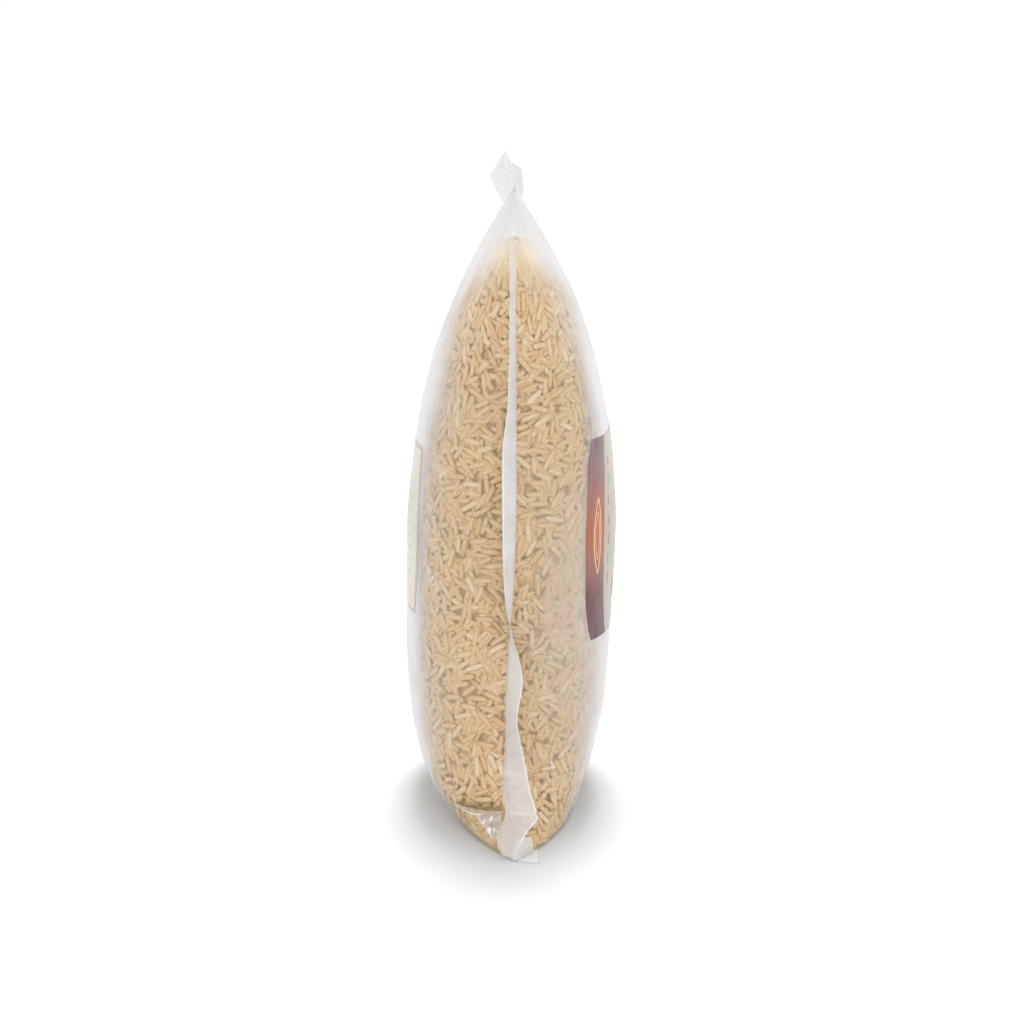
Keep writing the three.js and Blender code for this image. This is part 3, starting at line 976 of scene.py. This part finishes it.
def make_corner_fold():
    """The lip and the facet where the pouch's lower corner is folded in, with a painted shadow band above
    the fold, a painted highlight on the lip and painted highlight spots on the facet.
    """
    pieces = []
    # Painted shadow: a dark brown sheet above the fold, darkest just over the fold line.
    painted_shadow_patch, down, place = patch_grid(FOLD_PAINTED_SHADOW_TOP, FOLD_CREASE, [0.2, 0.9])
    ends = smoothstep(0, 0.12, place) * smoothstep(1, 0.9, place)
    cover = ends * (0.28 * down + 0.5 * smoothstep(0.68, 0.92, down))
    shade = fold_material("fold_shade", (0.20, 0.125, 0.045, 1), (0.32, 0.215, 0.09, 1))
    pieces.append(sheet_mesh("fold_painted_shadow", painted_shadow_patch, 0.08, shade, {"cover": cover}))
    band, down, place = patch_grid(FOLD_CREASE, FOLD_LIP, [0.6, 1.0, 0.8])
    cover = 0.34 * smoothstep(0, 0.15, place) * smoothstep(0.1, 0.35, down)
    tan = fold_material("fold_tan", (0.66, 0.49, 0.29, 1), (0.80, 0.64, 0.43, 1))
    pieces.append(sheet_mesh("fold_band", band, 0.08, tan, {"cover": cover}))
    lip, down, place = patch_grid(FOLD_CREASE, FOLD_LIP, [0.9, 1.3, 1.1])
    # Painted highlight along the lower edge of the lip's left part.
    painted_lip_highlight = smoothstep(0.70, 0.95, down) * smoothstep(0.75, 0.5, place)
    numbers = {"edge": painted_lip_highlight, "cover": 0.04 + 0.6 * painted_lip_highlight}
    pieces.append(sheet_mesh("fold_lip", lip, 0.12, seal_material(), numbers))
    facet, down, place = patch_grid(FOLD_FACET_LEFT, FOLD_FACET_RIGHT, [1.1, 0.5, 0.3])
    # Painted highlight spots on the facet, and a painted highlight along its top edge.
    painted_facet_highlights = smoothstep(0.15, 0.45, lattice_noise(facet * (1, 1, 0.4), 0.9, 15))
    edge = np.maximum(0.8 * smoothstep(0.12, 0.0, down), painted_facet_highlights)
    numbers = {"edge": edge, "cover": 0.20 + 0.35 * painted_facet_highlights}
    pieces.append(sheet_mesh("fold_facet", facet, 0.12, seal_material(), numbers))
    flap, down, place = patch_grid(FOLD_FLAP_TOP, FOLD_FLAP_FOOT, [0.5, 0.8, 0.5])
    # Painted light: the flap is tinted bright all over, brightest at its far end.
    numbers = {"edge": 0.8 + 0.2 * smoothstep(0.9, 1.0, place), "cover": 0.30 + 0 * down}
    pieces.append(sheet_mesh("fold_flap", flap, 0.12, seal_material(), numbers))
    return pieces


def make_wrinkle_highlights_painted():
    """Painted highlight streaks where the film puckers beside the seal, on an otherwise clear sheet."""
    patch, down, place = patch_grid(WRINKLE_TOP, WRINKLE_FOOT, [0.2, 0.5, 0.2], rows=40, columns=40)
    inside = np.sin(np.pi * down) * np.sin(np.pi * place)
    # Painted highlight streaks, fading to nothing at the patch's sides.
    painted_wrinkle_streaks = smoothstep(0.1, 0.5, lattice_noise(patch * (1, 1, 0.5), 1.1, 16)) * inside
    numbers = {"edge": painted_wrinkle_streaks, "cover": 0.6 * painted_wrinkle_streaks}
    return sheet_mesh("film_wrinkle_painted_highlights", patch, 0.08, seal_material(), numbers)


def make_seals(material):
    """The four seals as thin sheets."""
    grids = {
        "side_seal_near": fin_grid(NEAR_FIN_ROWS, -1),
        "side_seal_far": fin_grid(FAR_FIN_ROWS, 1),
        "top_seal": top_seal_grid(),
        "bottom_seal": bottom_seal_grid(),
    }
    pieces = []
    for name, (grid, numbers) in grids.items():
        pieces.append(sheet_mesh(name, grid, SEAL_THICKNESS, material, numbers))
    return pieces


def panel_angle(height, arc, side):
    """The angle round the pouch of a point that lies an arc length from a panel's middle."""
    around = np.linspace(0, np.pi, 721)
    h, a = np.meshgrid(height, around, indexing="ij")
    ring = section(h, a if side > 0 else -a)
    step = np.linalg.norm(np.diff(ring, axis=1), axis=2)
    length = np.concatenate([np.zeros((len(height), 1)), np.cumsum(step, axis=1)], axis=1)
    length -= length[:, 360:361]
    found = np.stack([np.interp(arc[i], length[i], around) for i in range(len(height))])
    return found if side > 0 else -found


def make_label(name, side, low, high, half_widths, material):
    """A printed panel on the film: its sides bow as the filled pouch bows them."""
    half_low, half_middle = half_widths
    rows, columns = 100, 130
    height = np.linspace(low, high, rows)
    middle = (low + high) / 2
    rise = 0.98 * (height - middle) / (high - middle)
    half = half_low + (half_middle - half_low) * np.sqrt(1 - rise ** 2)
    share = np.linspace(-1, 1, columns)
    arc = half[:, None] * share[None, :]
    angle = panel_angle(height, arc, side)
    h = np.broadcast_to(height[:, None], angle.shape)
    grid = film_points(h, angle, 0.10)
    numbers = {"up": h, "across": arc, "from_side": half[:, None] * (1 - np.abs(share))[None, :]}
    return sheet_mesh(name, grid, 0.06, material, numbers)


# The scene round the pouch

def add_floor():
    """The plain white surface that the pouch stands on."""
    s = Shades("white_floor")
    colour = s.ramp(s.noise(6, 2), (0.3, (0.655, 0.675, 0.695, 1)), (0.7, (0.675, 0.695, 0.715, 1)))
    plane = s.node("ShaderNodeBsdfPrincipled", Base_Color=colour, Roughness=0.9)
    plane.inputs["Specular IOR Level"].default_value = 0.0
    material = s.finish(plane.outputs[0])
    size = FLOOR_SIZE
    corners = [(-size, -size, 0), (size, -size, 0), (size, size, 0), (-size, size, 0)]
    floor = add_mesh("floor", np.array(corners, float), [(0, 1, 2, 3)], material, smooth=False)


def add_sun(name, place, strength, spread):
    """A wide soft light that comes from a place towards the middle of the pouch."""
    light = bpy.data.lights.new(name, "SUN")
    light.energy = strength
    light.angle = math.radians(spread)
    lamp = bpy.data.objects.new(name, light)
    lamp.location = place
    lamp.rotation_euler = (Vector((0, 0, 0.1)) - Vector(place)).to_track_quat("-Z", "Y").to_euler()
    bpy.context.scene.collection.objects.link(lamp)


def add_world(strength):
    """Even white light from all round."""
    world = bpy.data.worlds.new("studio")
    world.use_nodes = True
    world.node_tree.nodes["Background"].inputs["Color"].default_value = (1, 1, 1, 1)
    world.node_tree.nodes["Background"].inputs["Strength"].default_value = strength
    bpy.context.scene.world = world


def add_camera():
    """The photograph's view: along +Y and a little downward."""
    rise = math.radians(CAMERA_RISE)
    back = CAMERA_DISTANCE * math.cos(rise)
    up = CAMERA_DISTANCE * math.sin(rise)
    camera = bpy.data.objects.new("camera", bpy.data.cameras.new("camera"))
    camera.data.lens = CAMERA_LENS
    camera.data.sensor_width = CAMERA_SENSOR
    camera.data.clip_start = 0.05
    camera.location = (CENTRING[0] * METRES, -back, CAMERA_HEIGHT + up)
    camera.rotation_euler = (math.pi / 2 - rise, 0, 0)
    bpy.context.scene.collection.objects.link(camera)
    bpy.context.scene.camera = camera


def main():
    scene = bpy.context.scene
    scene.view_settings.view_transform = "Standard"
    scene.view_settings.look = "None"
    film = make_film()
    seal = seal_material()
    seals = make_seals(seal)
    fold = [*make_corner_fold(), make_wrinkle_highlights_painted()]
    core = make_core()
    grains = make_grains(grain_material())
    labels = [
        make_label("front_print", 1, FRONT_LOW, FRONT_HIGH, FRONT_HALF_WIDTHS, front_print_material()),
        make_label("back_print", -1, BACK_LOW, BACK_HIGH, BACK_HALF_WIDTHS, back_print_material()),
    ]
    for piece in [film, *seals, *fold]:
        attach(piece, "root")
    for piece in [core, *grains]:
        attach(piece, "root")
    for piece in labels:
        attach(piece, "root")
    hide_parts("bag")
    add_floor()
    add_world(WORLD_LIGHT)
    add_sun("top_light", *TOP_LIGHT)
    add_sun("front_light", *FRONT_LIGHT)
    add_camera()


main()
